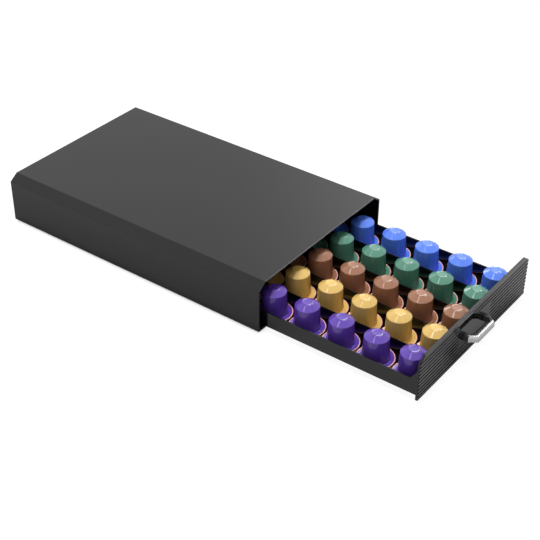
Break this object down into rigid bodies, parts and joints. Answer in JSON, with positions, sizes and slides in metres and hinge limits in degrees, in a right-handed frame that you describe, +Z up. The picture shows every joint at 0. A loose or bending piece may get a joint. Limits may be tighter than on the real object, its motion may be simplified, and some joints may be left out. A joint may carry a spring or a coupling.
{
  "type": "coffee pod drawer",
  "caption": "Low near-black casing with a sliding drawer that holds coffee pods upright in divided columns behind a grooved front with a bright handle.",
  "frame": {"origin": "middle of the whole part's box with the drawer part open, on the plane that the feet rest on", "axes": "+X to the right seen from the front, +Y to the back, +Z up"},
  "size_m": [0.21, 0.523, 0.056],
  "materials": {
    "cover_satin": "near-black satin moulding",
    "inner_black": "plain black sheet",
    "runner_nylon": "smooth black nylon",
    "stop_rubber": "soft black",
    "foot_rubber": "dull black",
    "zinc_steel": "zinc plated",
    "tray_satin": "near-black satin moulding",
    "divider_gloss": "glossy black sheet",
    "panel_gloss": "near-black, smooth and shiny",
    "handle_chrome": "bright plated",
    "post_black": "satin black",
    "shoe_plastic": "natural slippery plastic",
    "pod_purple": "purple lacquer",
    "pod_gold": "gold lacquer",
    "pod_brown": "copper brown lacquer",
    "pod_green": "green lacquer",
    "pod_blue": "blue lacquer",
    "lid_foil": "pinkish foil"
  },
  "bodies": {
    "casing": {"casing_cover": "cover_satin", "base_plate": "inner_black", "back_panel": "inner_black", "corner_block_left": "inner_black", "corner_block_right": "inner_black", "runner_left": "runner_nylon", "runner_right": "runner_nylon", "stop_block_left": "stop_rubber", "stop_block_right": "stop_rubber", "rear_bumper_left": "stop_rubber", "rear_bumper_right": "stop_rubber", "foot_front_left": "foot_rubber", "foot_front_right": "foot_rubber", "foot_rear_left": "foot_rubber", "foot_rear_right": "foot_rubber", "base_screws": "zinc_steel", "back_screws": "zinc_steel"},
    "drawer": {"drawer_tray": "tray_satin", "divider_1": "divider_gloss", "divider_2": "divider_gloss", "divider_3": "divider_gloss", "divider_4": "divider_gloss", "front_panel": "panel_gloss", "handle_bar": "handle_chrome", "handle_post_left": "post_black", "handle_post_right": "post_black", "handle_screws": "zinc_steel", "slide_shoe_left": "shoe_plastic", "slide_shoe_right": "shoe_plastic", "shoe_rivets": "zinc_steel", "pods_purple": "pod_purple", "pods_gold": "pod_gold", "pods_brown": "pod_brown", "pods_green": "pod_green", "pods_blue": "pod_blue", "lids_purple": "lid_foil", "lids_gold": "lid_foil", "lids_brown": "lid_foil", "lids_green": "lid_foil", "lids_blue": "lid_foil"}
  },
  "joints": [
    {"name": "drawer_slide", "type": "slide", "parent": "casing", "child": "drawer", "axis": [0, -1, 0], "range_m": [-0.1747, 0.0853]}
  ]
}
